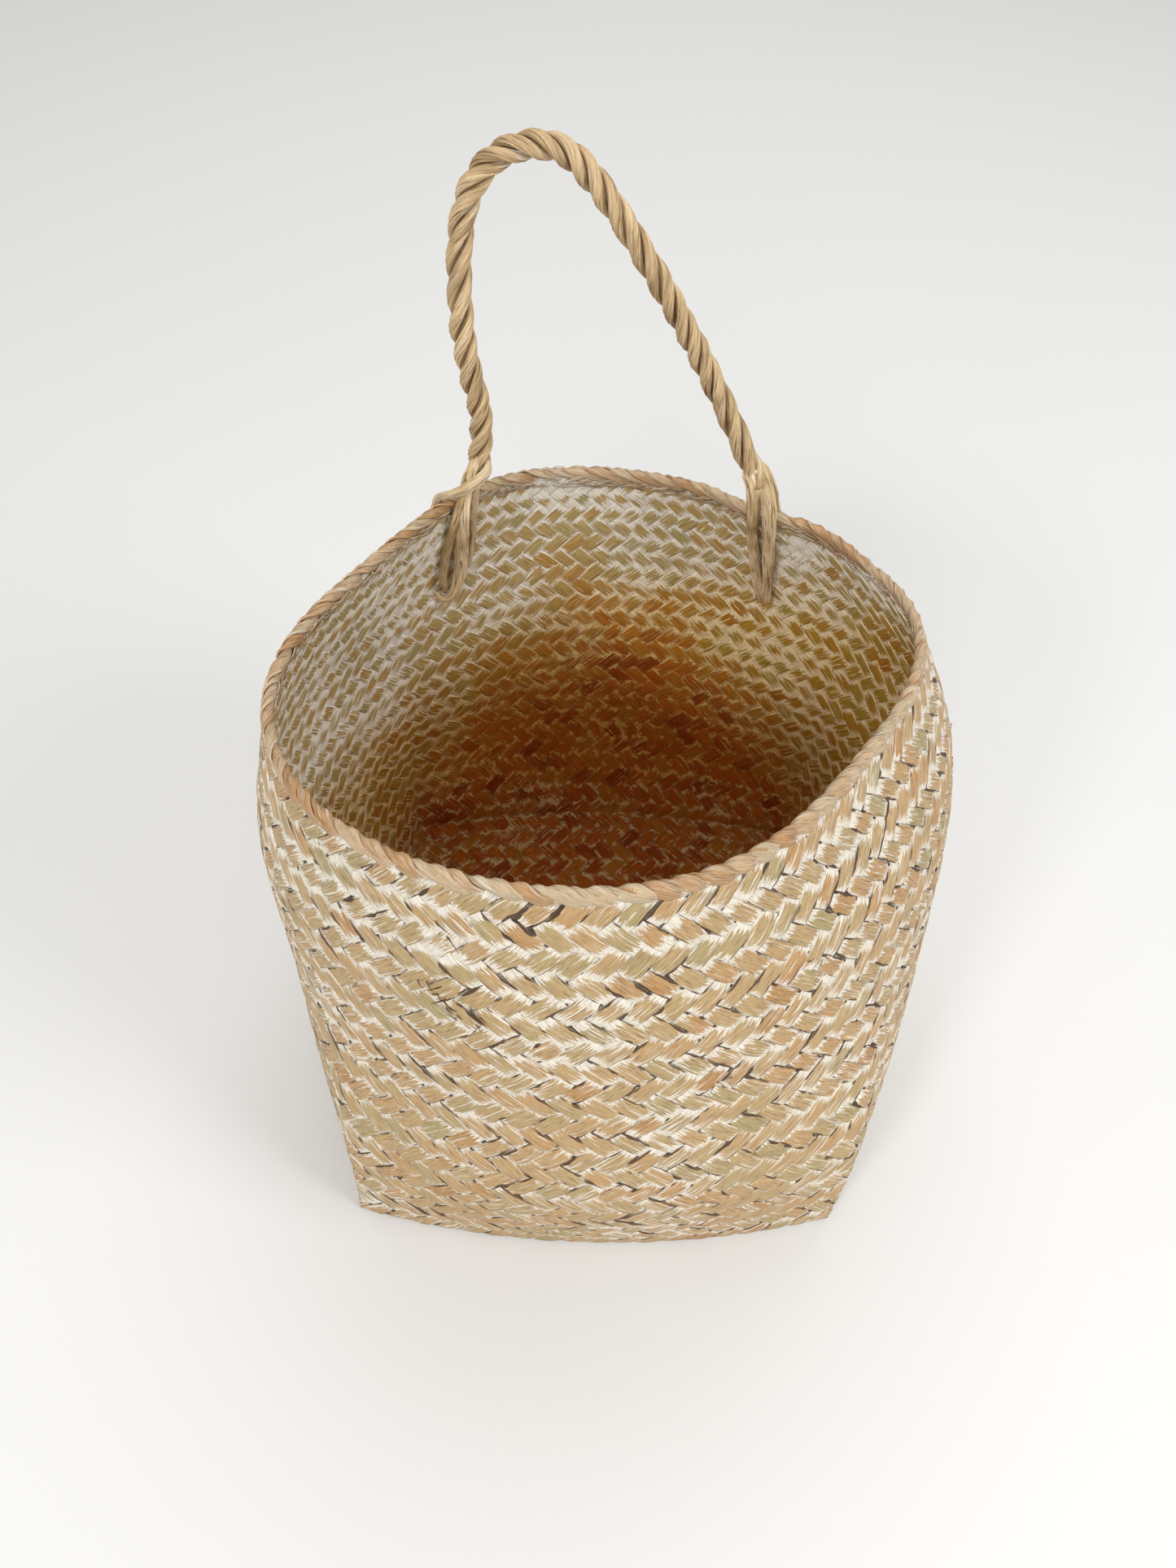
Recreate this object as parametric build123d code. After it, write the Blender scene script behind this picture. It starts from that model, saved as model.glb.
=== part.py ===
from build123d import *
from math import cos, exp, hypot, pi, radians, sin, sqrt
import os

# Plaited seagrass basket with a twisted rope handle. Millimetres, +Z up, front towards -Y.
# The origin is on the table under the middle of the body.

# ---- driving dimensions ----
BODY_HEIGHT = 197.0
# share of the height, half width, half depth
STATIONS = [
    (0.00, 93.0, 97.7),
    (0.25, 106.4, 106.6),
    (0.50, 108.8, 102.9),
    (0.75, 104.4, 99.2),
    (1.00, 86.0, 92.8),
]
BASE_X = -4.4               # the belly is centred on the origin, and the base is off to the left
BASE_Y = -1.7
BELLY_SHIFT_X = 3.8         # the belly leans out past the base
BELLY_SHIFT_Y = 2.1
CORNER_REACH = 0.896        # base corner, as a share of the half width and half depth
CORNER_FADE = 0.72          # the corner folds have run out at this share of the height
MOUTH_SKEW = 0.104          # the mouth is drawn out along one diagonal
MOUTH_THREE_LOBE = 0.024
MOUTH_FOUR_LOBE = 0.034
MOUTH_TILT_X = -0.068       # the rim drops towards the right and the back
MOUTH_TILT_Y = -0.082
# azimuth, depth as a share of the radius, width in degrees
MOUTH_DENTS = [(30.7, 0.047, 13.0), (55.4, 0.065, 10.0)]

WALL = 2.2                  # two layers of strip, plaited
BASE_THICKNESS = 2.4
BASE_CLEARANCE = 0.8        # between the base panel's edge and the wall
RIM_SHARE = 0.972           # the folded border starts here
RIM_PROUD = 0.5             # the border stands out past the wall
RIM_THICKNESS = 3.9
RIM_ROUND = 1.3

TIE_HOLE = 10.4
LEFT_TIE = (129.05, 0.7625)   # azimuth and share of the height of each hole in the wall
RIGHT_TIE = (57.55, 0.739)

ROPE = 7.8
STRAND = 4.4
THIN_STRAND = 2.8
OUTER_STRAND = 3.4
HINGE_Y = 67.8              # the handle swings about this line
HINGE_Z = 199.4
ROPE_FOOT_GAP = 1.0         # the rope's solid starts this far above that line

ROUND = sqrt(0.5)           # the corner share at which four bowed sides make one circle
SIDE_POINTS = 17            # points along each quarter of a section
SECTION_SHARES = [0.0, 0.08, 0.2, 0.35, 0.5, 0.65, 0.78, 0.88, RIM_SHARE]
ARC_SHARE = 0.45            # of the shorter run that a bend takes up


# ---- the body's surface ----
def half_sizes(share):
    """Half width and half depth: a Catmull-Rom curve through the stations."""
    step = STATIONS[1][0]
    i = min(int(share / step), len(STATIONS) - 2)
    f = share / step - i
    sizes = []
    for k in (1, 2):
        p1, p2 = STATIONS[i][k], STATIONS[i + 1][k]
        p0 = STATIONS[i - 1][k] if i > 0 else 2 * p1 - p2
        p3 = STATIONS[i + 2][k] if i + 2 < len(STATIONS) else 2 * p2 - p1
        sizes.append(
            p1
            + 0.5 * f * (p2 - p0)
            + f**2 * (p0 - 2.5 * p1 + 2 * p2 - 0.5 * p3)
            + f**3 * (1.5 * (p1 - p2) + 0.5 * (p3 - p0))
        )
    return sizes


def section_radius(u, share):
    """Four bowed sides with folds between them, turning into a circle higher up."""
    fade = max(0.0, 1 - share / CORNER_FADE)
    reach = ROUND + (CORNER_REACH - ROUND) * fade**2
    side = (u + pi / 4) % (pi / 2) - pi / 4
    centre = (1 - 2 * reach**2) / (2 * (1 - reach))
    return centre * cos(side) + sqrt((1 - centre) ** 2 - (centre * sin(side)) ** 2)


def mouth_factor(azimuth, share):
    """How the hand-made mouth departs from an ellipse, growing towards the rim."""
    u = radians(azimuth)
    skew = MOUTH_SKEW * sin(2 * u) + MOUTH_THREE_LOBE * cos(3 * u) + MOUTH_FOUR_LOBE * sin(4 * u)
    dents = sum(depth * exp(-(((azimuth - at) / width) ** 2)) for at, depth, width in MOUTH_DENTS)
    return 1 + share**2 * skew - share**4 * dents


def wall_point(azimuth, share, inset=0.0):
    """A point of the outer face, or one level with it and that far inside."""
    u = radians(azimuth)
    half_width, half_depth = half_sizes(share)
    r = section_radius(u, share) * mouth_factor(azimuth % 360, share)
    x = (half_width - inset) * r * cos(u)
    y = (half_depth - inset) * r * sin(u)
    z = share * BODY_HEIGHT + share**3 * (MOUTH_TILT_X * x + MOUTH_TILT_Y * y)
    bow = 4 * share * (1 - share)
    return Vector(x + bow * BELLY_SHIFT_X + BASE_X, y + bow * BELLY_SHIFT_Y + BASE_Y, z)


def outward(azimuth, share):
    """The direction square to the outer face."""
    along = wall_point(azimuth + 1, share) - wall_point(azimuth - 1, share)
    up = wall_point(azimuth, share) - wall_point(azimuth, share - 0.02)
    return along.cross(up).normalized()


def beside_wall(azimuth, share, depth, lift=0.0):
    """A point that deep inside the outer face, measured square to it, then raised by lift."""
    return wall_point(azimuth, share) - outward(azimuth, share) * depth + Vector(0, 0, lift)


def ring_face(share, inset):
    """One flat section of the body, as four side curves that meet at the folds."""
    sides = []
    for quarter in range(4):
        start = -45 + 90 * quarter
        azimuths = [start + 90 * i / (SIDE_POINTS - 1) for i in range(SIDE_POINTS)]
        sides.append(Spline(*[wall_point(a, share, inset) for a in azimuths]))
    return make_face(Wire(sides))


def body_ring(shares, outer_inset, inner_inset):
    """The body between two faces, over those shares of its height."""
    outside = loft([ring_face(s, outer_inset) for s in shares])
    inside = loft([ring_face(s, inner_inset) for s in shares])
    return outside - inside


def tie_hole(tie):
    """The drill for a hole square to the wall, where the rope's strands go through."""
    middle = beside_wall(*tie, WALL / 2)
    return Plane(origin=middle, z_dir=outward(*tie)) * Cylinder(TIE_HOLE / 2, 6 * WALL)


# ---- rope and strands ----
def bend_radii(route):
    """The largest radius each bend has room for."""
    radii = []
    for before, here, after in zip(route, route[1:], route[2:]):
        run_in, run_out = here - before, after - here
        half_turn = radians(run_in.get_angle(run_out)) / 2
        radii.append(ARC_SHARE * min(run_in.length, run_out.length) * cos(half_turn) / sin(half_turn))
    return radii


def tube(name, route, diameter):
    radii = bend_radii(route)
    path = FilletPolyline(*route, radius=radii)
    solid = sweep(Plane(origin=path @ 0, z_dir=path % 0) * Circle(diameter / 2), path=path)
    straight = pi * diameter**2 / 4 * path.length
    print(name, "length", round(path.length, 1), "radii", [round(r, 1) for r in radii])
    print(name, "volume over section times length", round(solid.volume / straight, 4))
    return solid


def along_wall(places):
    return [p if isinstance(p, Vector) else beside_wall(*p) for p in places]


# The handle's route: up the left leg, round the top and down the long right leg.
HANDLE_ROUTE = [
    Vector(-46.7, HINGE_Y, HINGE_Z + ROPE_FOOT_GAP),
    Vector(-43.2, 68.2, 218.0),
    Vector(-47.9, 68.9, 239.0),
    Vector(-48.4, 69.7, 262.0),
    Vector(-45.4, 70.3, 281.5),
    Vector(-36.4, 70.7, 295.0),
    Vector(-21.4, 70.7, 298.0),
    Vector(-9.9, 70.3, 287.5),
    Vector(1.6, 69.8, 270.5),
    Vector(13.6, 69.3, 252.5),
    Vector(24.1, 68.9, 234.0),
    Vector(34.1, 68.3, 215.0),
    Vector(41.2, HINGE_Y, HINGE_Z + ROPE_FOOT_GAP),
]

# Points, or azimuth, share of the height, depth inside the outer face and lift.
LEFT_LEG_MAIN = [
    Vector(-51.6, 62.3, 190.0),
    (128.7, 0.945, 5.7),
    (127.0, 0.89, 5.5),
    (125.6, 0.835, 5.4),
    (125.9, 0.797, 5.8),
    (127.1, 0.766, 6.2),
    (128.2, 0.756, 5.2),
    (128.9, 0.751, 3.0),
    (129.0, 0.750, -0.4),
]
LEFT_LEG_THIN = [
    Vector(-47.9, 66.8, 193.3),
    (124.9, 0.955, 5.0),
    (123.3, 0.893, 4.6),
    (123.1, 0.84, 4.5),
]
LEFT_LEG_REAR = [
    Vector(-54.9, 58.6, 191.0),
    (132.7, 0.93, 5.4),
    (131.6, 0.88, 4.8),
    (130.6, 0.82, 4.9),
    (129.7, 0.793, 5.6),
    (129.3, 0.778, 3.2),
    (129.2, 0.774, -0.4),
]
LEFT_OUTER_STRAND = [
    (129.1, 0.7625, -1.0),
    (129.3, 0.766, -3.7),
    (130.0, 0.779, -4.5),
    (131.2, 0.81, -3.2),
    (132.6, 0.87, -2.7),
    (133.8, 0.94, -3.0),
    (134.2, 0.985, -3.2),
    (134.1, 1.0, -3.0, 1.0),
    (133.8, 1.0, -1.6, 3.4),
    (133.0, 1.0, 1.4, 4.4),
    (131.8, 1.0, 4.4, 3.8),
]
RIGHT_LEG_FRONT = [
    Vector(41.1, 67.0, 193.9),
    Vector(41.7, 67.8, 186.5),
    (57.0, 0.935, 5.3),
    (58.2, 0.88, 5.1),
    (58.9, 0.82, 5.2),
    (59.1, 0.775, 5.5),
    (58.9, 0.757, 5.5),
    (58.9, 0.745, 3.1),
    (58.9, 0.742, -0.4),
]
RIGHT_LEG_REAR = [
    Vector(46.95, 65.1, 193.8),
    Vector(47.3, 65.6, 187.0),
    (53.0, 0.94, 5.3),
    (54.6, 0.885, 5.1),
    (55.6, 0.835, 5.2),
    (56.1, 0.775, 5.6),
    (56.2, 0.752, 5.5),
    (56.2, 0.740, 3.1),
    (56.2, 0.737, -0.4),
]
RIGHT_OUTER_STRAND = [
    (57.5, 0.739, -1.0),
    (57.4, 0.742, -3.7),
    (57.0, 0.755, -4.5),
    (56.0, 0.786, -3.2),
    (54.6, 0.86, -2.7),
    (53.4, 0.93, -3.0),
    (52.8, 0.985, -3.2),
    (52.7, 1.0, -2.8, 1.4),
    (52.5, 1.0, -1.0, 4.0),
    (52.4, 1.0, 2.2, 5.8),
]


def make_parts():
    wall = body_ring(SECTION_SHARES, 0, WALL) - tie_hole(LEFT_TIE) - tie_hole(RIGHT_TIE)
    base = extrude(ring_face(0.0, WALL + BASE_CLEARANCE), BASE_THICKNESS)
    rim_shares = [RIM_SHARE, (1 + RIM_SHARE) / 2, 1.0]
    rim = body_ring(rim_shares, -RIM_PROUD, RIM_THICKNESS - RIM_PROUD)
    top_edges = rim.faces().sort_by(Axis.Z)[-1].edges()
    rim = fillet(top_edges, RIM_ROUND)
    parts = {"woven_wall": wall, "base_panel": base, "rim_border": rim}
    parts["handle_rope"] = tube("handle_rope", HANDLE_ROUTE, ROPE)
    strands = {
        "left_leg_main": (LEFT_LEG_MAIN, STRAND),
        "left_leg_thin": (LEFT_LEG_THIN, THIN_STRAND),
        "left_leg_rear": (LEFT_LEG_REAR, STRAND),
        "left_outer_strand": (LEFT_OUTER_STRAND, OUTER_STRAND),
        "right_leg_front": (RIGHT_LEG_FRONT, STRAND),
        "right_leg_rear": (RIGHT_LEG_REAR, STRAND),
        "right_outer_strand": (RIGHT_OUTER_STRAND, OUTER_STRAND),
    }
    for name, (places, diameter) in strands.items():
        parts[name] = tube(name, along_wall(places), diameter)
    return parts


PARTS = make_parts()
os.makedirs("parts", exist_ok=True)
for node, shape in PARTS.items():
    export_step(shape, f"parts/{node}.step")
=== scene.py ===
import math
import random

import bpy
import numpy as np
from mathutils import Matrix, Vector


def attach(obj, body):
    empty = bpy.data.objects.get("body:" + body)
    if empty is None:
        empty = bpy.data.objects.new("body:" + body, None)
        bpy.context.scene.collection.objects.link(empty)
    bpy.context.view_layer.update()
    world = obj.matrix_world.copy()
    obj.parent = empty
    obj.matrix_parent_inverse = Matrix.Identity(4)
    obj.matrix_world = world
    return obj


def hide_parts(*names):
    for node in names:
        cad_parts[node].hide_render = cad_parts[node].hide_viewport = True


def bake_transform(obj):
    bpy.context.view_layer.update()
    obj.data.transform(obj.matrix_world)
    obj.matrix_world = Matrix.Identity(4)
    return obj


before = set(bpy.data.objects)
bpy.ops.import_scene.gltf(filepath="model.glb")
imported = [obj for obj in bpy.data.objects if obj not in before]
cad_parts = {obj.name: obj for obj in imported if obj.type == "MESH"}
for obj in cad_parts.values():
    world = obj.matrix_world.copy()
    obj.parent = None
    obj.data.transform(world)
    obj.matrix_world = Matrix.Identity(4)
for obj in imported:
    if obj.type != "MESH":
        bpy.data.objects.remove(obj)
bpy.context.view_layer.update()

# A plaited basket with a rope handle. Shape formulas are in millimetres, and meshes in metres.
MM = 0.001
TAU = 2 * math.pi

# The body's outer face: half sizes at equal steps up the wall, then what bends that plain shape.
BODY_HEIGHT = 197.0
STATION_STEP = 0.25         # share of the height from one station to the next
HALF_WIDTHS = (93.0, 106.4, 108.8, 104.4, 86.0)
HALF_DEPTHS = (97.7, 106.6, 102.9, 99.2, 92.8)
BASE_XY = (-4.4, -1.7)      # middle of the foot
BELLY_SHIFT = (3.8, 2.1)    # how far the belly's middle lies from it
CORNER_REACH = 0.896        # the foot's corners, as a share of the half size each way
CORNER_FADE = 0.72          # share of the height where the corners are gone
ROUND = math.sqrt(0.5)      # the corner's share in a round section
MOUTH_SKEW = (0.104, 0.024, 0.034)      # sizes of the sin 2u, cos 3u and sin 4u terms
MOUTH_DENTS = ((30.7, 0.047, 13.0), (55.4, 0.065, 10.0))    # degrees round, depth, width
MOUTH_TILT = (-0.068, -0.082)           # rise at the mouth for each mm of x and of y
SLOPE_STEP = 2e-3           # step in azimuth and share that the face's directions are taken over

ROW_HEIGHTS = (1.04, 1.04, 1.04, 1.03, 1.03, 1.01, 0.98, 0.935, 0.915)  # at equal steps up the wall
STRIP_THICKNESS = 0.42

ROPE = 7.8                  # thickness
ROPE_LAY = 25.0             # length of one turn of the plies


# ---------------------------------------------------------------- camera
LENS = 26.93
CAMERA_PLACE = (-9.75, -246.9, 415.7)
CAMERA_DOWN = 49.07         # degrees below level
CAMERA_ROLL = 1.19


def add_camera():
    data = bpy.data.cameras.new("camera")
    data.sensor_width = 36
    data.lens = LENS
    data.clip_start = 0.01
    cam = bpy.data.objects.new("camera", data)
    bpy.context.scene.collection.objects.link(cam)
    place = Matrix.Translation(Vector(CAMERA_PLACE) * MM)
    pitch = Matrix.Rotation(math.radians(90 - CAMERA_DOWN), 4, "X")
    roll = Matrix.Rotation(math.radians(CAMERA_ROLL), 4, "Z")
    cam.matrix_world = place @ pitch @ roll
    bpy.context.scene.camera = cam


# ---------------------------------------------------------------- lines and meshes
def nurbs(points):
    """A smooth open line that follows the route's points."""
    data = bpy.data.curves.new("route", "CURVE")
    data.dimensions = "3D"
    data.resolution_u = 16
    spline = data.splines.new("NURBS")
    spline.points.add(len(points) - 1)
    for place, point in zip(spline.points, points):
        place.co = (*(c * MM for c in point), 1)
    spline.order_u = 3
    spline.use_endpoint_u = True
    obj = bpy.data.objects.new("route", data)
    bpy.context.scene.collection.objects.link(obj)
    bpy.context.view_layer.update()
    mesh = bpy.data.meshes.new_from_object(obj)
    line = np.array([v.co for v in mesh.vertices]) / MM
    bpy.data.objects.remove(obj)
    bpy.data.meshes.remove(mesh)
    return line


def lengths_along(line):
    """The length of the line up to each of its points."""
    steps = np.linalg.norm(np.diff(line, axis=0), axis=1)
    return np.concatenate([[0], np.cumsum(steps)])


def resample(line, step):
    """Points about that far apart along the line, with the length up to each."""
    run = lengths_along(line)
    count = max(4, int(run[-1] / step))
    at = np.linspace(0, run[-1], count + 1)
    return np.stack([np.interp(at, run, line[:, k]) for k in range(3)], 1), at


def unit(v):
    return v / np.maximum(np.linalg.norm(v, axis=-1, keepdims=True), 1e-9)


def frames(line):
    """Two directions square to the line at each point, carried along it without twisting."""
    tangents = unit(np.gradient(line, axis=0))
    first = np.zeros_like(line)
    carried = np.array((0.0, -1.0, 0.0))
    for i, tangent in enumerate(tangents):
        carried = carried - tangent * np.dot(carried, tangent)
        carried /= np.linalg.norm(carried)
        first[i] = carried
    return first, np.cross(tangents, first)


def new_mesh(name, verts, quads, attributes, body, material):
    """One smooth mesh object in metres, which rides on a body if one is given."""
    mesh = bpy.data.meshes.new(name)
    mesh.vertices.add(len(verts))
    mesh.vertices.foreach_set("co", (np.asarray(verts) * MM).astype(np.float32).ravel())
    quads = np.asarray(quads, dtype=np.int32)
    mesh.loops.add(quads.size)
    mesh.loops.foreach_set("vertex_index", quads.ravel())
    mesh.polygons.add(len(quads))
    mesh.polygons.foreach_set("loop_start", np.arange(0, quads.size, 4, dtype=np.int32))
    mesh.update(calc_edges=True)
    mesh.validate()
    mesh.polygons.foreach_set("use_smooth", np.ones(len(mesh.polygons), dtype=bool))
    for key, values in attributes.items():
        layer = mesh.attributes.new(key, "FLOAT", "POINT")
        layer.data.foreach_set("value", np.asarray(values, dtype=np.float32))
    obj = bpy.data.objects.new(name, mesh)
    bpy.context.scene.collection.objects.link(obj)
    mesh.materials.append(material)
    if body:
        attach(obj, body)
    return obj


def ring_quads(rings, around):
    """Faces of a tube of that many rings, with both ends closed by folding them flat."""
    i, j = np.meshgrid(np.arange(rings - 1), np.arange(around), indexing="ij")
    k = (j + 1) % around
    low, high = i * around, (i + 1) * around
    quads = np.stack([low + j, low + k, high + k, high + j], -1)
    caps = []
    for base, flip in ((0, False), ((rings - 1) * around, True)):
        for n in range(around // 2 - 1):
            quad = [base + n, base + around - 1 - n, base + around - 2 - n, base + n + 1]
            caps.append(quad[::-1] if flip else quad)
    return np.concatenate([quads.reshape(-1, 4), np.array(caps)])


class Parts:
    """Collects the vertices, faces and attributes of many strips into one mesh."""

    def __init__(self):
        self.verts = []
        self.quads = []
        self.extra = {}
        self.count = 0

    def add(self, verts, quads, **attributes):
        self.verts.append(verts)
        self.quads.append(np.asarray(quads) + self.count)
        self.count += len(verts)
        for key, values in attributes.items():
            self.extra.setdefault(key, []).append(np.broadcast_to(values, (len(verts),)))

    def make(self, name, body, material):
        attributes = {key: np.concatenate(values) for key, values in self.extra.items()}
        verts = np.concatenate(self.verts)
        quads = np.concatenate(self.quads)
        return new_mesh(name, verts, quads, attributes, body, material)


def waves(rng, count, scale):
    """A smooth random function of a length: a few sine waves of unrelated lengths."""
    terms = []
    for _ in range(count):
        frequency = rng.uniform(0.4, 1.6) / scale
        phase = rng.uniform(0, TAU)
        terms.append((frequency, phase, rng.uniform(0.5, 1)))
    total = sum(size for _, _, size in terms)
    return lambda x: sum(size * np.sin(TAU * f * x + p) for f, p, size in terms) / total


# ---------------------------------------------------------------- strands and rope
FURROW = 0.11               # depths of the strand's relief, as shares of its half width
SPLIT = 0.14
RIBS = 0.03
SWELL = 0.06
BLUNT_END = 0.35            # a strand's end, as a share of its full size
TONE_SHIFT = 517.0          # moves each strand to its own place in the noise


def strand(parts, line, at, axes, wide, thick, rng, tone, around=40, turn=0.0, fade=0.0, groove_shade=0.0):
    """A fibrous strand of oval section along a line; axes are the section's two directions."""
    side, front = axes
    angle = np.linspace(0, TAU, around, endpoint=False)
    run = at[:, None]
    wander = waves(rng, 4, 30.0)(at)[:, None]
    furrows = np.sin(4.5 * angle + 0.5 * wander + 0.03 * run + rng.uniform(0, TAU))
    ridges = 1 - FURROW * np.abs(furrows) ** 6
    splits = np.sin(2.5 * angle - 0.8 * wander - 0.02 * run + rng.uniform(0, TAU))
    ridges -= SPLIT * np.abs(splits) ** 10
    ridges += RIBS * np.sin(11 * angle - 0.35 * run + rng.uniform(0, TAU))
    swell = 1 + SWELL * waves(rng, 4, 14.0)(at)[:, None]
    to_end = np.minimum(at, at[-1] - at)[:, None]
    end = np.minimum(1, BLUNT_END + (1 - BLUNT_END) * to_end / max(fade, 0.01))
    w = np.broadcast_to(wide, at.shape)[:, None] * ridges * swell * end
    h = np.broadcast_to(thick, at.shape)[:, None] * ridges * swell * end
    x, y = w * np.cos(angle), h * np.sin(angle)
    spin = np.broadcast_to(turn, at.shape)[:, None, None]
    u = side[:, None] * np.cos(spin) + front[:, None] * np.sin(spin)
    v = -side[:, None] * np.sin(spin) + front[:, None] * np.cos(spin)
    verts = line[:, None] + u * x[..., None] + v * y[..., None]
    rings = len(line)
    # depth carries painted shade on the strand's side towards the rope's middle, between the plies
    parts.add(
        verts.reshape(-1, 3),
        ring_quads(rings, around),
        round=np.tile(np.abs(np.linspace(-1, 1, around, endpoint=False)), rings),
        along=np.repeat(at, around) + tone * TONE_SHIFT,
        tone=tone,
        depth=np.tile(groove_shade * np.clip(0.30 - np.sin(angle), 0, 1), rings),
    )


# the handle's middle line, from its left tie over the top to its right tie
ROPE_ROUTE = (
    (-46.9, 67.6, 198.6),
    (-43.0, 68.2, 218.0),
    (-48.0, 68.9, 239.0),
    (-48.6, 69.7, 262.0),
    (-46.0, 70.3, 283.0),
    (-36.6, 70.7, 295.6),
    (-20.4, 70.7, 297.9),
    (-9.4, 70.3, 287.0),
    (1.8, 69.8, 270.7),
    (13.6, 69.3, 252.5),
    (24.1, 68.9, 234.0),
    (34.1, 68.3, 215.0),
    (42.0, 67.7, 198.6),
)
ROPE_STEP = 0.9             # mm from ring to ring
ROPE_FILL = 0.94            # share of the rope's thickness that its plies fill without relief
PLY_RATIO = 2.12            # the rope's radius over a ply's
PLY_TONES = (0.35, 0.62, 0.85)
PLY_START = 2.4             # angle of the first ply where the rope starts


def twisted_rope(material):
    line, at = resample(nurbs(ROPE_ROUTE), ROPE_STEP)
    a, b = frames(line)
    rng = random.Random(7)
    parts = Parts()
    radius = ROPE_FILL * ROPE / 2 / PLY_RATIO
    wander = waves(rng, 3, 60.0)
    for n, tone in enumerate(PLY_TONES):
        phase = TAU * at / (ROPE_LAY * (1 + 0.05 * wander(at))) + TAU * n / 3 + PLY_START
        out = a * np.cos(phase)[:, None] + b * np.sin(phase)[:, None]
        along = -a * np.sin(phase)[:, None] + b * np.cos(phase)[:, None]
        reach = (ROPE_FILL * ROPE / 2 - radius) * (1 + 0.05 * waves(rng, 3, 30.0)(at))
        path = line + out * reach[:, None]
        wide, thick = radius * 1.18, radius * 1.02
        # each ply gets painted shade where it lies between the others
        strand(parts, path, at, (along, out), wide, thick, rng, tone, groove_shade=1.0)
    rope = parts.make("handle_rope_strands", "handle", material)
    path = [tuple(p * MM) for p in line]
    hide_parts("handle_rope")


# ---------------------------------------------------------------- shader helpers
class Nodes:
    """Short names for building a shader."""

    def __init__(self, name):
        self.material = bpy.data.materials.new(name)
        self.material.use_nodes = True
        self.tree = self.material.node_tree
        self.shader = self.tree.nodes["Principled BSDF"]

    def link(self, source, target):
        if isinstance(source, bpy.types.NodeSocket):
            self.tree.links.new(source, target)
        else:
            target.default_value = source

    def attribute(self, name):
        node = self.tree.nodes.new("ShaderNodeAttribute")
        node.attribute_name = name
        return node.outputs["Fac"]

    def math(self, op, a, b=0.0, c=0.0, clamp=False):
        node = self.tree.nodes.new("ShaderNodeMath")
        node.operation = op
        node.use_clamp = clamp
        for socket, value in zip(node.inputs, (a, b, c)):
            self.link(value, socket)
        return node.outputs[0]

    def times(self, a, b):
        return self.math("MULTIPLY", a, b)

    def scaled(self, value, factor, plus, clamp=False):
        """The value times the factor, plus something."""
        return self.math("MULTIPLY_ADD", value, factor, plus, clamp)

    def ramp(self, value, low, high, out_low=0.0, out_high=1.0):
        """A smooth step from low to high, which may also run downwards."""
        node = self.tree.nodes.new("ShaderNodeMapRange")
        node.interpolation_type = "SMOOTHSTEP"
        keys = ("Value", "From Min", "From Max", "To Min", "To Max")
        for key, setting in zip(keys, (value, low, high, out_low, out_high)):
            self.link(setting, node.inputs[key])
        return node.outputs[0]

    def vector(self, x, y, z):
        node = self.tree.nodes.new("ShaderNodeCombineXYZ")
        for socket, value in zip(node.inputs, (x, y, z)):
            self.link(value, socket)
        return node.outputs[0]

    def noise(self, vector, scale, detail, rough=0.6):
        """Noise about 0 in the middle."""
        node = self.tree.nodes.new("ShaderNodeTexNoise")
        self.link(vector, node.inputs["Vector"])
        self.link(scale, node.inputs["Scale"])
        self.link(detail, node.inputs["Detail"])
        self.link(rough, node.inputs["Roughness"])
        return self.math("SUBTRACT", node.outputs["Fac"], 0.5)

    def fibres(self, along, across, own, lengths, widths, seed, detail):
        """Noise drawn out along a strip; own is a number that differs from strip to strip."""
        at = self.vector(self.times(along, lengths), self.times(across, widths), self.times(own, seed))
        return self.noise(at, 1.0, detail)

    def colours(self, value, stops):
        node = self.tree.nodes.new("ShaderNodeValToRGB")
        elements = node.color_ramp.elements
        while len(elements) < len(stops):
            elements.new(0.5)
        for element, (at, colour) in zip(elements, stops):
            element.position = at
            element.color = (*colour, 1)
        self.link(value, node.inputs["Fac"])
        return node.outputs["Color"]

    def mix(self, factor, a, b, blend="MIX"):
        node = self.tree.nodes.new("ShaderNodeMix")
        node.data_type = "RGBA"
        node.blend_type = blend
        for socket, value in ((node.inputs[0], factor), (node.inputs[6], a), (node.inputs[7], b)):
            if isinstance(value, tuple):
                value = (*value, 1)
            self.link(value, socket)
        return node.outputs[2]

    def position(self):
        node = self.tree.nodes.new("ShaderNodeNewGeometry")
        return node.outputs["Position"]

    def distance(self, vector, centre):
        node = self.tree.nodes.new("ShaderNodeVectorMath")
        node.operation = "DISTANCE"
        self.link(vector, node.inputs[0])
        node.inputs[1].default_value = [c * MM for c in centre]
        return node.outputs["Value"]

    def separate(self, vector):
        node = self.tree.nodes.new("ShaderNodeSeparateXYZ")
        self.link(vector, node.inputs[0])
        return node.outputs

    def finish(self, colour, roughness, height, distance, strength, specular=0.35):
        bump = self.tree.nodes.new("ShaderNodeBump")
        bump.inputs["Strength"].default_value = strength
        bump.inputs["Distance"].default_value = distance
        self.link(height, bump.inputs["Height"])
        self.link(colour, self.shader.inputs["Base Color"])
        self.link(roughness, self.shader.inputs["Roughness"])
        self.link(bump.outputs[0], self.shader.inputs["Normal"])
        self.shader.inputs["Specular IOR Level"].default_value = specular
        return self.material


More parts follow.
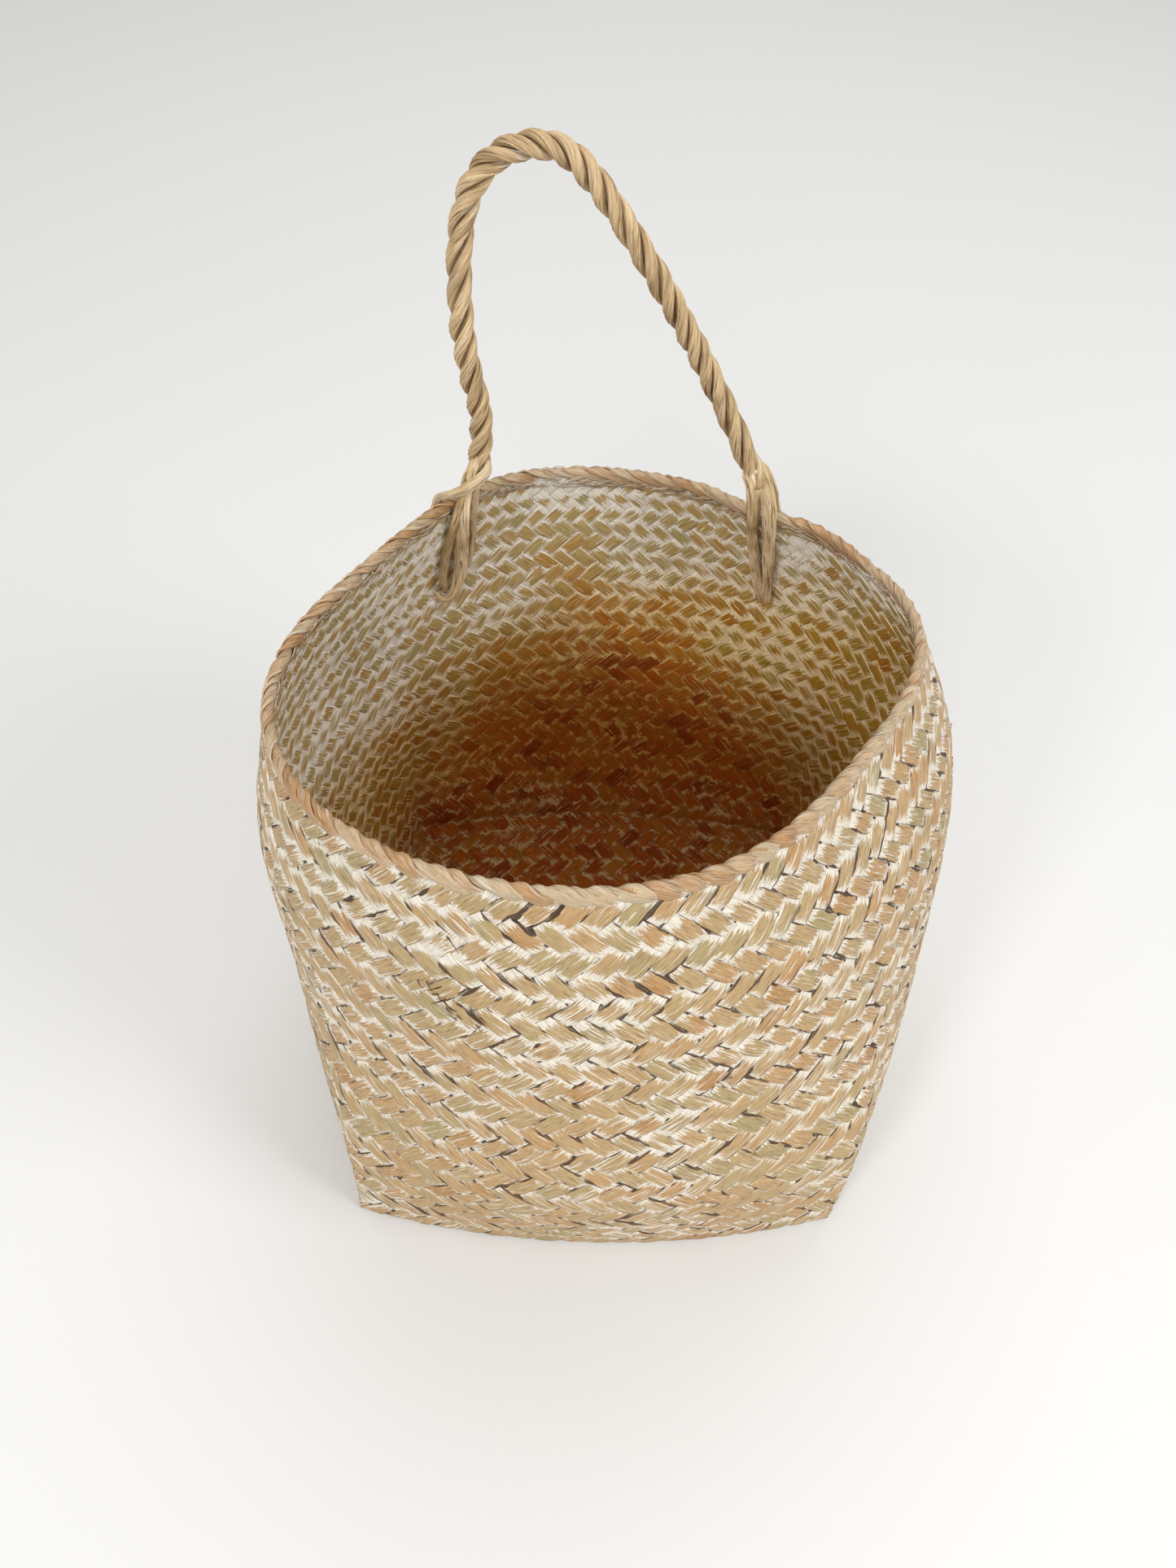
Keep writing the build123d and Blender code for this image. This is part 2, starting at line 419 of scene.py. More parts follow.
# ---------------------------------------------------------------- leaf strips' material
OUTER_STOPS = (
    (0.02, (0.41, 0.32, 0.16)),
    (0.28, (0.46, 0.33, 0.165)),
    (0.55, (0.49, 0.33, 0.165)),
    (0.80, (0.50, 0.31, 0.145)),
    (0.99, (0.44, 0.24, 0.09)),
)
# the inside's leaf colour at the top, then copies with amber painted shade and darker painted shade
# lower down
INNER_TOP = (
    (0.05, (0.48, 0.42, 0.20)),
    (0.40, (0.54, 0.42, 0.19)),
    (0.75, (0.56, 0.39, 0.15)),
    (0.98, (0.54, 0.34, 0.10)),
)
INNER_AMBER_SHADE = (
    (0.05, (0.41, 0.29, 0.040)),
    (0.45, (0.46, 0.26, 0.026)),
    (0.75, (0.47, 0.24, 0.020)),
    (0.98, (0.45, 0.180, 0.014)),
)
INNER_DEEP_SHADE = (
    (0.05, (0.55, 0.24, 0.026)),
    (0.45, (0.58, 0.17, 0.013)),
    (0.75, (0.47, 0.11, 0.010)),
    (0.98, (0.33, 0.06, 0.006)),
)
BORDER_STOPS = (
    (0.02, (0.50, 0.41, 0.27)),
    (0.4, (0.57, 0.44, 0.29)),
    (0.75, (0.56, 0.40, 0.25)),
    (0.99, (0.46, 0.27, 0.13)),
)
TUCKED_STOPS = (
    (0.05, (0.34, 0.22, 0.11)),
    (0.5, (0.52, 0.36, 0.20)),
    (0.95, (0.68, 0.50, 0.31)),
)
LEAF_LINES = (              # what fine fibres multiply the leaf's colour by
    (0.0, (0.50, 0.40, 0.30)),
    (0.42, (0.92, 0.90, 0.85)),
    (1.0, (1.12, 1.10, 1.05)),
)
WASH_OUTSIDE = (0.85, 0.80, 0.70)
# inside, the wash is painted lighter at the top and on the floor, and darker with painted shade between
WASH_INSIDE_LIT = (1.0, 0.96, 0.85)
WASH_AMBER_SHADE = (0.97, 0.79, 0.46)
WASH_DEEP_SHADE = (0.96, 0.66, 0.20)
WASH_FLOOR_LIT = (1.0, 0.84, 0.50)
# painted shade: in grooves between strips, and in the openings at some corners
GROOVE_SHADE_COLOUR = (0.07, 0.03, 0.01)
HOLE_SHADE_COLOUR = (0.035, 0.016, 0.006)
PAINT_PATCHES = (           # places where the wash lies thickest, and their radii
    ((-66, 62, 178), 16),
    ((-20, 90, 184), 26),
    ((58, 66, 170), 14),
    ((76, 46, 182), 14),
    ((10, -98, 184), 10),
    ((-44, -94, 176), 9),
)


class StripNodes(Nodes):
    """A shader with the inputs that each part of the leaf strip's material reads."""

    def __init__(self, name):
        super().__init__(name)
        self.across = self.attribute("across")
        self.reach = self.attribute("reach")    # 1 in the middle of a float, 0 where the strip dives
        self.face = self.attribute("face")      # 1 on the face that looks outwards
        self.tone = self.attribute("tone")
        self.place = self.position()
        along = self.attribute("along")
        strip = self.attribute("strip")
        self.edge = self.math("ABSOLUTE", self.across)
        self.slow = self.fibres(along, self.across, strip, 0.055, 0.5, 37.0, 2.0)
        self.fine = self.fibres(along, self.across, strip, 0.22, 9.0, 91.0, 4.0)
        self.jagged = self.fibres(along, self.across, strip, 0.30, 6.5, 53.0, 3.0)
        self.split = self.fibres(along, self.across, strip, 0.07, 5.0, 71.0, 2.0)
        self.patch = self.noise(self.place, 30.0, 3.0)
        # painted shade inside: darkest red-brown at the bottom, amber above it, reaching higher to the
        # right
        x, _, self.height = self.separate(self.place)
        bowl = self.times(self.times(x, x), 12.0)
        deep_shade_at = self.math("ADD", self.height, self.scaled(self.patch, 0.05, bowl))
        self.deep_shade = self.ramp(deep_shade_at, 0.152, 0.070)
        amber_shade_at = self.scaled(x, -0.35, self.scaled(self.patch, 0.04, self.height))
        self.amber_shade = self.ramp(amber_shade_at, 0.160, 0.100)


def leaf_colour(n, stops):
    """The dry leaf, outside and inside, where painted shade darkens it lower down, with its fine
    fibres.
    """
    shade = n.math("ADD", n.scaled(n.slow, 0.9, 0.5), n.scaled(n.tone, 1.1, -0.55), clamp=True)
    inside = n.mix(n.amber_shade, n.colours(shade, INNER_TOP), n.colours(shade, INNER_AMBER_SHADE))
    inside = n.mix(n.deep_shade, inside, n.colours(shade, INNER_DEEP_SHADE))
    colour = n.mix(n.face, inside, n.colours(shade, stops))
    lines = n.scaled(n.fine, 3.4, 0.62, clamp=True)
    return n.mix(1.0, colour, n.colours(lines, LEAF_LINES), "MULTIPLY")


def whitewash(n, wash):
    """How much wash is left: at the ends of floats, in scratches and along the strips' edges; less
    shows in the painted shade inside.
    """
    high_up = n.ramp(n.height, 0.13, 0.19)
    start = n.scaled(n.patch, 1.3, n.scaled(high_up, 0.12, 0.20 * wash))
    # fewer white float ends where the painted shade inside is darkest
    start = n.math("SUBTRACT", start, n.times(n.deep_shade, 0.12))
    start = n.scaled(n.face, -0.08, n.math("ADD", start, 0.08))
    for centre, radius in PAINT_PATCHES:
        near = n.ramp(n.distance(n.place, centre), radius * MM, 0.0, 0.0, 0.62 * wash)
        start = n.math("ADD", start, near)
    dive = n.scaled(n.jagged, 1.7, n.reach)
    ends = n.ramp(n.math("SUBTRACT", dive, start), 0.10, 0.0)
    scratch = n.ramp(n.scaled(n.patch, 0.30, n.split), 0.098, 0.122, 0.0, 0.9 * wash)
    worn_edge = n.scaled(n.split, 1.1, n.edge)
    from_edge = n.scaled(n.face, 0.085, 0.855)
    edges = n.ramp(n.math("SUBTRACT", worn_edge, from_edge), 0.0, 0.10, 0.0, 0.95 * wash**2)
    white = n.math("MAXIMUM", n.math("MAXIMUM", ends, scratch), edges)
    dirty = n.scaled(n.fine, 2.2, n.scaled(n.face, -0.13, 0.97), clamp=True)
    white = n.times(white, dirty)
    # in the darkest painted shade inside, the wash is broken into flecks and less of it shows
    chips = n.ramp(n.noise(n.place, 300.0, 2.0), 0.03, -0.03, 0.0, 0.85)
    shade_hidden = n.times(n.times(n.deep_shade, n.math("SUBTRACT", 1.0, n.face)), chips)
    return n.times(white, n.math("SUBTRACT", 1.0, shade_hidden))


def wash_colour(n):
    """The wash is pale outside; inside it is painted lighter at the top and on the floor, and tinted
    darker with painted shade between.
    """
    lit_to_shaded = n.mix(n.amber_shade, WASH_INSIDE_LIT, WASH_AMBER_SHADE)
    low = n.mix(n.ramp(n.height, 0.035, 0.005), WASH_DEEP_SHADE, WASH_FLOOR_LIT)
    return n.mix(n.face, n.mix(n.deep_shade, lit_to_shaded, low), WASH_OUTSIDE)


def paint_gap_shade(n, colour, gap_shade):
    """Painted shade: thin dark lines in some grooves between strips, and dark spots at some corners for
    the shade that shows through the openings there.
    """
    crack = n.noise(n.place, 110.0, 2.0)
    line_at = n.scaled(crack, 1.6, n.scaled(n.slow, 0.7, n.edge))
    groove_shade = n.ramp(line_at, 1.00, 1.07, 0.0, gap_shade)
    colour = n.mix(n.times(groove_shade, n.face), colour, GROOVE_SHADE_COLOUR)
    at_end = n.ramp(n.math("ABSOLUTE", n.reach), 0.32, 0.16)
    corner_shade = n.times(n.ramp(n.across, 0.60, 0.80), at_end)
    some = n.ramp(n.scaled(n.patch, 1.2, n.tone), 0.62, 0.70)
    corner_shade = n.times(corner_shade, n.times(n.times(some, n.face), gap_shade))
    return n.mix(corner_shade, colour, HOLE_SHADE_COLOUR)


def strip_material(name, stops, wash, gap_shade=0.0):
    """Dry leaf strip: wash is how much whitewash it carries, holes how dark the painted shade between
    its strips is.
    """
    n = StripNodes(name)
    white = whitewash(n, wash)
    colour = n.mix(white, leaf_colour(n, stops), wash_colour(n))
    colour = paint_gap_shade(n, colour, gap_shade)
    rough = n.scaled(white, 0.25, 0.52)
    relief = n.math("ADD", n.scaled(n.fine, 1.0, n.times(n.split, 1.2)), n.times(white, 0.12))
    return n.finish(colour, rough, relief, 0.0007, 0.8)


# ---------------------------------------------------------------- fibres' material
ROPE_STOPS = (
    (0.05, (0.44, 0.31, 0.17)),
    (0.45, (0.63, 0.46, 0.27)),
    (0.95, (0.76, 0.58, 0.37)),
)
STRAND_STOPS = (
    (0.05, (0.52, 0.38, 0.20)),
    (0.45, (0.74, 0.57, 0.35)),
    (0.95, (0.86, 0.71, 0.50)),
)
FRAYED_STOPS = (
    (0.05, (0.13, 0.05, 0.02)),
    (0.45, (0.24, 0.11, 0.045)),
    (0.95, (0.42, 0.24, 0.12)),
)
FIBRE_LINES = (             # what fine fibres multiply the strand's colour by
    (0.0, (0.34, 0.25, 0.15)),
    (0.42, (0.90, 0.87, 0.80)),
    (1.0, (1.12, 1.10, 1.05)),
)
# painted shade between the rope's plies
BETWEEN_PLIES_SHADE = (0.16, 0.085, 0.03)
WASH_ON_FIBRE = (0.80, 0.79, 0.75)


def fibre_material(name, stops, wash):
    """Twisted or loose fibre: fine lines along the strand, and painted shade between the rope's plies.
    """
    n = Nodes(name)
    across = n.attribute("round")
    along = n.attribute("along")
    tone = n.attribute("tone")
    fine = n.fibres(along, across, tone, 0.16, 13.0, 61.0, 4.0)
    slow = n.fibres(along, across, tone, 0.06, 1.2, 17.0, 2.0)
    split = n.fibres(along, across, tone, 0.07, 8.0, 29.0, 2.0)
    shade = n.scaled(slow, 2.4, n.scaled(tone, 0.35, 0.32), clamp=True)
    lines = n.scaled(fine, 3.6, 0.60, clamp=True)
    colour = n.mix(1.0, n.colours(shade, stops), n.colours(lines, FIBRE_LINES), "MULTIPLY")
    # painted shade where a ply turns in between the others
    between = n.ramp(n.attribute("depth"), 0.05, 0.75, 0.0, 0.8)
    colour = n.mix(between, colour, BETWEEN_PLIES_SHADE)
    white = n.ramp(split, 0.19 - 0.06 * wash, 0.22 - 0.06 * wash, 0.0, 0.8)
    colour = n.mix(white, colour, WASH_ON_FIBRE)
    return n.finish(colour, n.scaled(white, 0.2, 0.58), fine, 0.0009, 0.9, 0.3)


# ---------------------------------------------------------------- the body's surface
def half_size(values, share):
    """A smooth curve through the stations' values, read at that share of the height."""
    i = np.clip((share / STATION_STEP).astype(int), 0, len(values) - 2)
    f = share / STATION_STEP - i
    v = np.array((2 * values[0] - values[1], *values, 2 * values[-1] - values[-2]))
    p0, p1, p2, p3 = v[i], v[i + 1], v[i + 2], v[i + 3]
    return (
        p1
        + 0.5 * f * (p2 - p0)
        + f**2 * (p0 - 2.5 * p1 + 2 * p2 - 0.5 * p3)
        + f**3 * (1.5 * (p1 - p2) + 0.5 * (p3 - p0))
    )


def surface(u, share):
    """Points of the outer face at azimuth u and share of the height."""
    # the section is a square with bowed sides, which grows round towards the mouth
    fade = np.maximum(0.0, 1 - share / CORNER_FADE)
    reach = ROUND + (CORNER_REACH - ROUND) * fade**2
    side = (u + math.pi / 4) % (math.pi / 2) - math.pi / 4
    centre = (1 - 2 * reach**2) / (2 * (1 - reach))
    r = centre * np.cos(side) + np.sqrt((1 - centre) ** 2 - (centre * np.sin(side)) ** 2)
    # the soft mouth is out of round
    degrees = np.degrees(u) % 360
    skew = MOUTH_SKEW[0] * np.sin(2 * u) + MOUTH_SKEW[1] * np.cos(3 * u) + MOUTH_SKEW[2] * np.sin(4 * u)
    dents = sum(d * np.exp(-(((degrees - at) / width) ** 2)) for at, d, width in MOUTH_DENTS)
    r = r * (1 + share**2 * skew - share**4 * dents)
    x = half_size(HALF_WIDTHS, share) * r * np.cos(u)
    y = half_size(HALF_DEPTHS, share) * r * np.sin(u)
    z = share * BODY_HEIGHT + share**3 * (MOUTH_TILT[0] * x + MOUTH_TILT[1] * y)
    bow = 4 * share * (1 - share)
    x = x + bow * BELLY_SHIFT[0] + BASE_XY[0]
    y = y + bow * BELLY_SHIFT[1] + BASE_XY[1]
    return np.stack([x, y, z], -1)


GRID_SHARES = np.linspace(0, 1.08, 73)
GRID_STEPS = 60             # steps in each quarter


def even_spacing():
    """For each share, the azimuths that cut every quarter of the section into equal lengths."""
    rows = []
    for share in GRID_SHARES:
        row = []
        for quarter in range(4):
            u = np.radians(-45 + 90 * quarter + np.linspace(0, 90, GRID_STEPS * 4 + 1))
            inner = np.clip(u, u[0] + 1e-6, u[-1] - 1e-6)
            run = lengths_along(surface(inner, np.full(inner.shape, share)))
            row.append(np.interp(np.linspace(0, run[-1], GRID_STEPS + 1)[:-1], run, u))
        rows.append(np.concatenate([*row, [math.radians(315)]]))
    return np.array(rows)


SPACING = even_spacing()
FOOT_TURN = 0.35            # rows in which a strip turns over the foot's edge


class Plait:
    """One layer of the double wall, and its chart from places in the plait to points."""

    def __init__(self, strips, rows, depth, lift, uneven):
        self.strips = strips        # in each of its two families
        self.side = strips // 4     # of them, the ones that start from each side of the foot
        self.rows = rows            # up the wall
        self.depth = depth          # of the layer's middle inside the outer face
        self.lift = lift            # how far a strip rises over the ones it crosses
        self.uneven = uneven        # how much its width varies
        self.shares = np.linspace(0, 1, 401)
        heights = np.linspace(0, 1, len(ROW_HEIGHTS))
        rate = 1 / np.interp(self.shares, heights, ROW_HEIGHTS)
        run = np.concatenate([[0], np.cumsum((rate[1:] + rate[:-1]) / 2)])
        self.row_at = run / run[-1] * rows

    def azimuth(self, w, share):
        """The azimuth of a place w pitches round the body, counted from the first corner."""
        turns = np.floor(w / self.strips)
        across = (w / self.strips - turns) * 4 * GRID_STEPS
        i = np.clip(across.astype(int), 0, 4 * GRID_STEPS - 1)
        f = across - i
        top = len(GRID_SHARES) - 1
        up = np.clip(share / GRID_SHARES[-1] * top, 0, top - 0.001)
        j = up.astype(int)
        g = up - j
        low = SPACING[j, i] * (1 - f) + SPACING[j, i + 1] * f
        high = SPACING[j + 1, i] * (1 - f) + SPACING[j + 1, i + 1] * f
        return low * (1 - g) + high * g + turns * TAU

    def share_of(self, s):
        """The share of the height at s rows up the wall."""
        foot = self.depth / BODY_HEIGHT
        return foot + np.interp(s, self.row_at, self.shares) * (1 - foot)

    def wall(self, w, s, lift=0.0):
        """A point w pitches round and s rows up, raised off the layer's middle by lift."""
        share = self.share_of(np.maximum(s, 0))
        u = self.azimuth(w, share)
        here = surface(u, share)
        along = surface(u + SLOPE_STEP, share) - surface(u - SLOPE_STEP, share)
        up = surface(u, share + SLOPE_STEP) - surface(u, np.maximum(share - SLOPE_STEP, 0))
        out = unit(np.cross(along, up))
        turn = np.clip(1 - s / FOOT_TURN, 0, 1)[..., None] * 0.5
        lean = unit(out * (1 - turn) + np.array([0.0, 0.0, -1.0]) * turn)
        return here - out * self.depth + lean * np.asarray(lift)[..., None]

    def foot(self, w):
        return self.wall(w, np.zeros_like(w))

    def base(self, side, a, d, lift):
        """A point of the base, a pitches along that side and d pitches in from it."""
        n = self.side
        g, h = a / n, d / n
        start = side * n
        near = self.foot(start + g * n)
        far = self.foot(start + 3 * n - g * n)
        left = self.foot(start + 4 * n - h * n)
        right = self.foot(start + n + h * n)
        corners = [self.foot(np.full(g.shape, float(start + k * n))) for k in range(4)]
        g, h = g[..., None], h[..., None]
        blend = (1 - h) * near + h * far + (1 - g) * left + g * right
        twice = (1 - g) * (1 - h) * corners[0] + g * (1 - h) * corners[1]
        blend -= twice + g * h * corners[2] + (1 - g) * h * corners[3]
        turn = np.clip(1 - d / FOOT_TURN, 0, 1)[..., None] * 0.5
        edge = (1 - h) * near + h * far
        out = unit((edge - np.array([BASE_XY[0], BASE_XY[1], 0.0])) * np.array([1.0, 1.0, 0.0]))
        lean = unit(np.array([0.0, 0.0, -1.0]) * (1 - turn) + out * turn)
        return blend + lean * np.asarray(lift)[..., None]

    def place(self, side, a, s, lift):
        """The unfolded chart of one side: the wall above the foot and the base below it."""
        on_wall = self.wall(side * self.side + a, s, lift)
        on_base = self.base(side, np.clip(a, 0, self.side), np.maximum(-s, 0), lift)
        return np.where((s >= 0)[..., None], on_wall, on_base)

    def spacing(self, side, a, s):
        """The plait's two steps at a place, in mm: one pitch round, and one row up."""
        e = 0.05
        s = np.maximum(s, e)
        w = side * self.side + a
        round_step = (self.wall(w + e, s) - self.wall(w - e, s)) / (2 * e)
        up_step = (self.wall(w, s + e) - self.wall(w, s - e)) / (2 * e)
        return np.linalg.norm(round_step, axis=-1), np.linalg.norm(up_step, axis=-1)


OUTER = Plait(strips=76, rows=21.25, depth=0.80, lift=0.50, uneven=0.09)
LINING = Plait(strips=88, rows=23.25, depth=1.90, lift=0.34, uneven=0.15)


# ---------------------------------------------------------------- plaited strips
# a strip's section: over the face that looks outwards from edge to edge, and back under it
SECTION = np.array([-1.0, -0.78, 0.0, 0.78, 1.0, 1.0, 0.78, 0.0, -0.78, -1.0])
SECTION_TOP = np.array([1.0, 1.0, 1.0, 1.0, 1.0, 0.0, 0.0, 0.0, 0.0, 0.0])
AROUND = len(SECTION)
PER_CROSSING = 3.5          # rings of a strip for each strip that it crosses
TOP_GAP = 0.45              # rows from a strip's end to the mouth's edge, under the border
EDGE_CURL = 0.6             # share of the lift by which a strip's edges curl back
FLOOR_CLEAR = 0.03          # lowest height of any strip
NOISE_RUN = 900.0           # each strip starts somewhere in this length of noise


def crossing_height(k):
    """The height of a strip at crossing k, from -1 to 1: over two, under two."""
    return np.tanh(2.4 * np.cos(math.pi / 2 * (k - 0.5))) / np.tanh(2.4)


def add_strip(parts, verts, along, reach, face, strip, tone):
    """Adds a strip's mesh with what its material reads; along, reach and tone go ring by ring."""
    rings = len(verts)
    parts.add(
        verts.reshape(-1, 3),
        ring_quads(rings, AROUND),
        across=np.tile(SECTION, rings),
        along=np.repeat(along, AROUND),
        reach=np.repeat(reach, AROUND) * (face * 2 - 1),
        face=face,
        strip=strip,
        tone=np.repeat(np.broadcast_to(tone, (rings,)), AROUND),
    )


def half_strip(layer, parts, side, x, rising, rng):
    """A strip from the middle of the base up the wall: rising to the right, or to the left."""
    sign = 1 if rising else -1
    low = -x / 2
    top = layer.rows - TOP_GAP
    count = int((top - low) * 2 * PER_CROSSING)
    s = np.linspace(low, top, count)
    a = (x + s) if rising else (layer.side - x - s)
    wide_u, wide_v = layer.spacing(side, a, s)
    diagonal = np.sqrt(wide_u**2 + wide_v**2)
    across_u, across_v = wide_v**2, -sign * wide_u**2
    size = np.sqrt((across_u * wide_u) ** 2 + (across_v * wide_v) ** 2)
    gap = wide_u * wide_v / diagonal
    along = np.concatenate([[0], np.cumsum(np.diff(s) * diagonal[1:])])
    state = sign * crossing_height(2 * s)
    # how far each point is from where the strip dives: 1 in the middle of a float, 0 at its end
    turning = np.clip(sign * np.cos(math.pi / 2 * (2 * s - 0.5)), -1, 1)
    reach = 1 - np.arccos(turning) * 2 / math.pi
    # the strip lies level where it meets its other half
    middle = np.clip((s - low) / 0.5, 0, 1)
    state = state * middle * middle * (3 - 2 * middle)
    half = gap / 2 * (rng.uniform(0.93, 1.06) + layer.uneven * waves(rng, 5, 13.0)(along))
    half = half * (1 - 0.13 * (1 - np.abs(state)))
    drift = gap * 0.05 * waves(rng, 4, 24.0)(along)
    state = state * (1 + 0.22 * waves(rng, 4, 17.0)(along))
    offset = (SECTION[None] * half[:, None] + drift[:, None]) / size[:, None]
    da, ds = offset * across_u[:, None], offset * across_v[:, None]
    # the edges of a strip curl away from whichever face is showing
    curl = -EDGE_CURL * layer.lift * np.abs(SECTION[None]) ** 2.4 * state[:, None]
    tilt = SECTION[None] * (0.04 + 0.19 * waves(rng, 4, 13.0)(along)[:, None])
    body = (SECTION_TOP[None] - 0.5) * STRIP_THICKNESS
    lift = layer.lift * state[:, None] + curl + tilt + body
    verts = layer.place(side, a[:, None] + da, s[:, None] + ds, lift)
    verts[..., 2] = np.maximum(verts[..., 2], FLOOR_CLEAR)
    # a leaf's tone changes from float to float
    own = rng.random()
    float_tones = np.array([0.4 * own + 0.6 * rng.random() for _ in range(60)])
    tone = float_tones[np.floor((2 * s + 0.5) / 2).astype(int) % 60]
    along = along + rng.uniform(0, NOISE_RUN)
    add_strip(parts, verts, along, reach, np.tile(SECTION_TOP, count), own, tone)


def plaited_layer(layer, name, material, seed):
    """Both families of one layer, in one mesh for each side and family."""
    rng = random.Random(seed)
    made = []
    for side in range(4):
        for rising in (True, False):
            parts = Parts()
            for m in range(layer.side):
                half_strip(layer, parts, side, m + 0.5, rising, rng)
            label = "right" if rising else "left"
            mesh_name = f"{name}_{label}_strips_{side + 1}"
            made.append(parts.make(mesh_name, "basket", material))
    return made


# ---------------------------------------------------------------- folded rim
RIM_SHARE = 0.988           # share of the height where the rim turns
RIM_CORE = 1.05             # radius that the folded strips turn round
RIM_MIDDLE = 1.25           # depth of the rim's middle inside the outer face
RIM_PITCH = 7.45            # mm round the rim from strip to strip
RIM_RINGS = 30
RIM_LIFT = 0.34             # of a folded strip's middle off the core
RIM_TILT = 0.34             # rise from there to one edge, which laps over the next strip
RIM_THICKNESS = 0.45
TUCK_RUN = 2.2              # mm at each end over which a folded strip narrows and tucks in
ENDS_PER_STRIP = 4          # tucked ends inside for each folded strip
END_RINGS = 14
END_THICKNESS = 0.4


def rim_point(w, q, lift):
    """A point on the way round the rim: q runs from outside, over the top, to inside."""
    share = np.full(w.shape, RIM_SHARE)
    u = OUTER.azimuth(w, share)
    here = surface(u, share)
    along = surface(u + SLOPE_STEP, share) - surface(u - SLOPE_STEP, share)
    up = unit(surface(u, share + 2 * SLOPE_STEP) - surface(u, share - 2 * SLOPE_STEP))
    out = unit(np.cross(along, up))
    half_turn = math.pi * RIM_CORE
    bend = np.clip(q, -half_turn / 2, half_turn / 2) / RIM_CORE
    straight = np.maximum(np.abs(q) - half_turn / 2, 0)
    radius = (RIM_CORE + lift)[..., None]
    ring = out * -np.sin(bend)[..., None] + up * np.cos(bend)[..., None]
    return here - out * RIM_MIDDLE + ring * radius - up * straight[..., None]


def rim_strip(parts, w0, rng, outside, inside, width, shear, tone):
    """One strip folded over the rim on the slant, with its ends tucked in."""
    q = np.linspace(-outside, inside, RIM_RINGS)
    w = w0 - q * shear / RIM_PITCH
    slant = math.hypot(1, shear)
    across_w, across_q = 1 / slant / RIM_PITCH, shear / slant
    half = width / 2 * (1 + 0.07 * waves(rng, 3, 9.0)(q))
    from_middle = np.abs(q - (inside - outside) / 2)
    tuck = np.clip((from_middle - (inside + outside) / 2 + TUCK_RUN) / TUCK_RUN, 0, 1)
    offset = SECTION[None] * half[:, None] * (1 - 0.25 * tuck[:, None])
    lift = RIM_LIFT + RIM_TILT * SECTION[None] - 0.18 * SECTION[None] ** 2
    lift = lift - 0.9 * tuck[:, None] ** 2
    lift = lift + (SECTION_TOP[None] - 0.5) * RIM_THICKNESS
    verts = rim_point(w[:, None] + offset * across_w, q[:, None] + offset * across_q, lift)
    along = q * slant + rng.uniform(0, NOISE_RUN)
    add_strip(parts, verts, along, 0.9 - 0.9 * tuck, np.ones(RIM_RINGS * AROUND), tone, tone)


def tucked_strip(parts, w0, q_mid, span, rng):
    """A narrow end that shows below the rim on the inside, lying almost along it."""
    f = np.linspace(-1, 1, END_RINGS)
    w = w0 + f * rng.uniform(0.15, 0.6)
    q = q_mid + f * span * 0.6
    half = rng.uniform(0.25, 0.75) * np.sqrt(np.clip(1.08 - f**2, 0, 1))
    lift = rng.uniform(0.2, 0.5) + rng.uniform(0.3, 0.8) * np.cos(f * math.pi / 2)
    across_w, across_q = span / 7.0 / RIM_PITCH, -0.95
    ww = w[:, None] + SECTION[None] * half[:, None] * across_w
    qq = q[:, None] + SECTION[None] * half[:, None] * across_q
    body = (SECTION_TOP[None] - 0.5) * END_THICKNESS
    verts = rim_point(ww, qq, lift[:, None] - 0.2 * SECTION[None] ** 2 + body)
    along = f * 6 + rng.uniform(0, NOISE_RUN)
    own = rng.random()
    tone = rng.random()
    add_strip(parts, verts, along, 0.8 * np.cos(f * 1.4), np.ones(END_RINGS * AROUND), own, tone)


def folded_rim(material, tuck_material):
    rng = random.Random(5)
    parts = Parts()
    for m in range(OUTER.strips):
        w0 = m + rng.uniform(-0.22, 0.22)
        width = rng.uniform(4.4, 6.2)
        tone = 0.30 + 0.70 * rng.random()
        # the folds lie flatter along the left and back of the rim than along the front
        toward_front = 0.5 + 0.5 * math.sin(TAU * (m / OUTER.strips - 0.5))
        shear = 2.7 - 0.8 * toward_front + rng.uniform(-0.25, 0.25)
        outside = 3.4 + 1.8 * toward_front + rng.uniform(-0.5, 0.7)
        inside = rng.uniform(3.6, 4.6)
        rim_strip(parts, w0, rng, outside, inside, width, shear, tone)
    rim = parts.make("rim_folded_strips", "basket", material)
    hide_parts("rim_border")
    tucks = Parts()
    for m in range(OUTER.strips * ENDS_PER_STRIP):
        q_mid = rng.uniform(3.6, 7.0)
        w0 = m / ENDS_PER_STRIP + rng.uniform(-0.2, 0.2)
        span = rng.uniform(-2.2, 2.6)
        tucked_strip(tucks, w0, q_mid, span, rng)
    tucks.make("rim_tucked_ends", "basket", tuck_material)


# ---------------------------------------------------------------- strands at the rope's ends
def beside_wall(degrees, share, depth, rise=0.0):
    """A point that deep inside the outer face, then raised by rise."""
    u, t = np.array([math.radians(degrees)]), np.array([share])
    here = surface(u, t)
    along = surface(u + 2e-2, t) - surface(u - 2e-2, t)
    up = here - surface(u, t - 0.02)
    out = unit(np.cross(along, up))
    return tuple((here - out * depth)[0] + np.array([0, 0, rise]))


